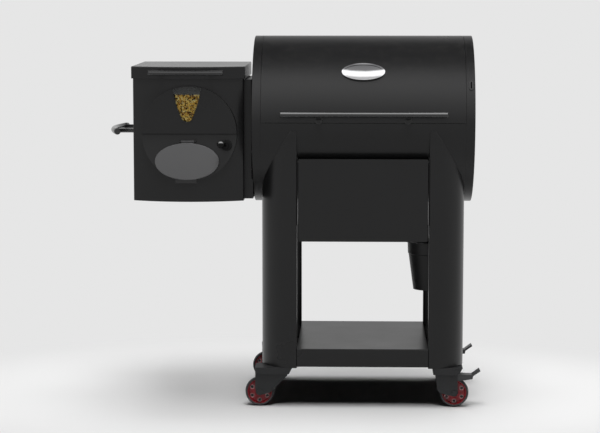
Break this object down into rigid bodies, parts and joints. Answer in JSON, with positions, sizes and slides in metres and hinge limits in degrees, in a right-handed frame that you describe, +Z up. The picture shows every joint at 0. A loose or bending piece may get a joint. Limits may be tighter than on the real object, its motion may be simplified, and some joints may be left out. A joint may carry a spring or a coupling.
{
  "type": "pellet smoker grill",
  "caption": "Barrel pellet smoker on wheeled sheet legs, with a side pellet hopper, auger feed, sliding flame door, folding front shelf, warming rack and grease bucket.",
  "frame": {"origin": "on the floor under the middle of the barrel", "axes": "+X towards the grease bucket end, away from the hopper; +Y towards the back, so the lid handle faces -Y; +Z up"},
  "size_m": [1.265, 0.6818, 1.269],
  "materials": {
    "body_paint": "satin powder coat",
    "shelf_paint": "satin powder coat",
    "handle_gloss": "gloss black",
    "badge_chrome": "polished",
    "cover_grey": "matte dark grey",
    "grate_iron": "porcelain enamelled",
    "rack_chrome": "plated wire",
    "broiler_steel": "heat tinted",
    "inner_steel": "galvanised",
    "screw_steel": "worn",
    "fan_plastic": "matte",
    "glass": "clear",
    "pellets": "pressed hardwood",
    "panel_plastic": "fine texture",
    "button_plastic": "gloss red",
    "port_rubber": "silicone",
    "bolt_steel": "black zinc",
    "drain_steel": "satin",
    "bucket_steel": "satin black",
    "fork_paint": "matte black",
    "pedal_paint": "matte black",
    "tyre_rubber": "smooth tread",
    "hub_red": "gloss red"
  },
  "bodies": {
    "grill": {"barrel_shell": "body_paint", "end_cap_left": "body_paint", "end_cap_right": "body_paint", "exhaust_hood": "body_paint", "leg_left": "body_paint", "leg_right": "body_paint", "hopper_housing": "body_paint", "control_fascia": "body_paint", "lid_hinges": "body_paint", "hopper_hinges": "body_paint", "bottom_shelf": "shelf_paint", "side_handle": "handle_gloss", "lever_bush": "handle_gloss", "cooking_grates": "grate_iron", "warming_rack": "rack_chrome", "flame_broiler": "broiler_steel", "fire_box": "inner_steel", "burn_pot": "inner_steel", "auger_tube": "inner_steel", "pellet_bin": "inner_steel", "blower": "inner_steel", "chamber_probe": "inner_steel", "igniter": "inner_steel", "auger_motor": "inner_steel", "window_glass": "glass", "wood_pellets": "pellets", "control_board": "panel_plastic", "power_inlet": "panel_plastic", "probe_grommet": "port_rubber", "shelf_bolts": "bolt_steel", "drain_spout": "drain_steel", "caster_brackets": "fork_paint"},
    "lid": {"lid": "body_paint", "lid_handle": "handle_gloss", "badge": "badge_chrome"},
    "hopper_lid": {"hopper_lid": "body_paint", "hopper_lid_handle": "handle_gloss"},
    "front_shelf": {"front_shelf": "body_paint"},
    "control_cover": {"control_cover": "cover_grey"},
    "temperature_dial": {"temperature_dial": "panel_plastic"},
    "power_button": {"power_button": "button_plastic"},
    "flame_lever": {"flame_lever": "handle_gloss"},
    "flame_slide": {"flame_slide": "broiler_steel"},
    "auger": {"auger": "screw_steel"},
    "fan": {"fan_wheel": "fan_plastic"},
    "grease_bucket": {"grease_bucket": "bucket_steel"},
    "caster_front_left": {"caster_fork_front_left": "fork_paint"},
    "wheel_front_left": {"tyre_front_left": "tyre_rubber", "wheel_hub_front_left": "hub_red"},
    "caster_front_right": {"caster_fork_front_right": "fork_paint"},
    "wheel_front_right": {"tyre_front_right": "tyre_rubber", "wheel_hub_front_right": "hub_red"},
    "pedal_front_right": {"brake_pedal_front_right": "pedal_paint"},
    "caster_rear_left": {"caster_fork_rear_left": "fork_paint"},
    "wheel_rear_left": {"tyre_rear_left": "tyre_rubber", "wheel_hub_rear_left": "hub_red"},
    "caster_rear_right": {"caster_fork_rear_right": "fork_paint"},
    "wheel_rear_right": {"tyre_rear_right": "tyre_rubber", "wheel_hub_rear_right": "hub_red"},
    "pedal_rear_right": {"brake_pedal_rear_right": "pedal_paint"}
  },
  "joints": [
    {"name": "lid_hinge", "type": "hinge", "parent": "grill", "child": "lid", "pos_m": [0, 0.19284, 1.20881], "axis": [-1, 0, 0], "range_deg": [0, 85]},
    {"name": "hopper_lid_hinge", "type": "hinge", "parent": "grill", "child": "hopper_lid", "pos_m": [-0.59625, 0.172, 1.123], "axis": [-1, 0, 0], "range_deg": [0, 80]},
    {"name": "front_shelf_hinge", "type": "hinge", "parent": "grill", "child": "front_shelf", "pos_m": [0, -0.279, 0.847], "axis": [-1, 0, 0], "range_deg": [0, 90]},
    {"name": "control_cover_hinge", "type": "hinge", "parent": "grill", "child": "control_cover", "pos_m": [-0.595, -0.28504, 0.91636], "axis": [-1, 0, 0], "range_deg": [0, 110]},
    {"name": "dial_turn", "type": "hinge", "parent": "grill", "child": "temperature_dial", "pos_m": [-0.543, -0.27963, 0.84734], "axis": [0, -0.9939, 0.1104], "range_deg": [-135, 135]},
    {"name": "power_press", "type": "slide", "parent": "grill", "child": "power_button", "axis": [0, 0.9939, -0.1104], "range_m": [0, 0.0015], "stiffness_N_per_m": 500},
    {"name": "flame_lever_turn", "type": "hinge", "parent": "grill", "child": "flame_lever", "pos_m": [-0.4626, -0.25, 0.9034], "axis": [0, 1, 0], "range_deg": [-25, 25]},
    {"name": "flame_slide_travel", "type": "slide", "parent": "grill", "child": "flame_slide", "axis": [0.9998, 0, -0.0209], "range_m": [-0.0129, 0.0129]},
    {"name": "auger_turn", "type": "hinge", "parent": "grill", "child": "auger", "pos_m": [-0.35, 0, 0.78], "axis": [1, 0, 0], "continuous": true},
    {"name": "fan_spin", "type": "hinge", "parent": "grill", "child": "fan", "pos_m": [-0.59, 0.09, 0.778], "axis": [0, 1, 0], "continuous": true},
    {"name": "bucket_swing", "type": "hinge", "parent": "grill", "child": "grease_bucket", "pos_m": [0.237, 0, 0.615], "axis": [0, 1, 0], "range_deg": [-6, 6]},
    {"name": "swivel_front_left", "type": "hinge", "parent": "grill", "child": "caster_front_left", "pos_m": [-0.326, -0.24, 0.116], "axis": [0, 0, 1], "continuous": true},
    {"name": "roll_front_left", "type": "hinge", "parent": "caster_front_left", "child": "wheel_front_left", "pos_m": [-0.354, -0.24, 0.05], "axis": [0, 1, 0], "continuous": true},
    {"name": "swivel_front_right", "type": "hinge", "parent": "grill", "child": "caster_front_right", "pos_m": [0.288, -0.24, 0.116], "axis": [0, 0, 1], "continuous": true},
    {"name": "roll_front_right", "type": "hinge", "parent": "caster_front_right", "child": "wheel_front_right", "pos_m": [0.316, -0.24, 0.05], "axis": [0, 1, 0], "continuous": true},
    {"name": "brake_front_right", "type": "hinge", "parent": "caster_front_right", "child": "pedal_front_right", "pos_m": [0.318, -0.24, 0.107], "axis": [0, 1, 0], "range_deg": [0, 6]},
    {"name": "swivel_rear_left", "type": "hinge", "parent": "grill", "child": "caster_rear_left", "pos_m": [-0.326, 0.24, 0.116], "axis": [0, 0, 1], "continuous": true},
    {"name": "roll_rear_left", "type": "hinge", "parent": "caster_rear_left", "child": "wheel_rear_left", "pos_m": [-0.354, 0.24, 0.05], "axis": [0, 1, 0], "continuous": true},
    {"name": "swivel_rear_right", "type": "hinge", "parent": "grill", "child": "caster_rear_right", "pos_m": [0.288, 0.24, 0.116], "axis": [0, 0, 1], "continuous": true},
    {"name": "roll_rear_right", "type": "hinge", "parent": "caster_rear_right", "child": "wheel_rear_right", "pos_m": [0.316, 0.24, 0.05], "axis": [0, 1, 0], "continuous": true},
    {"name": "brake_rear_right", "type": "hinge", "parent": "caster_rear_right", "child": "pedal_rear_right", "pos_m": [0.318, 0.24, 0.107], "axis": [0, 1, 0], "range_deg": [0, 6]}
  ],
  "couplings": [
    {"joint": "flame_lever_turn", "follows": "flame_slide_travel", "rad_per_m": -33.659}
  ]
}
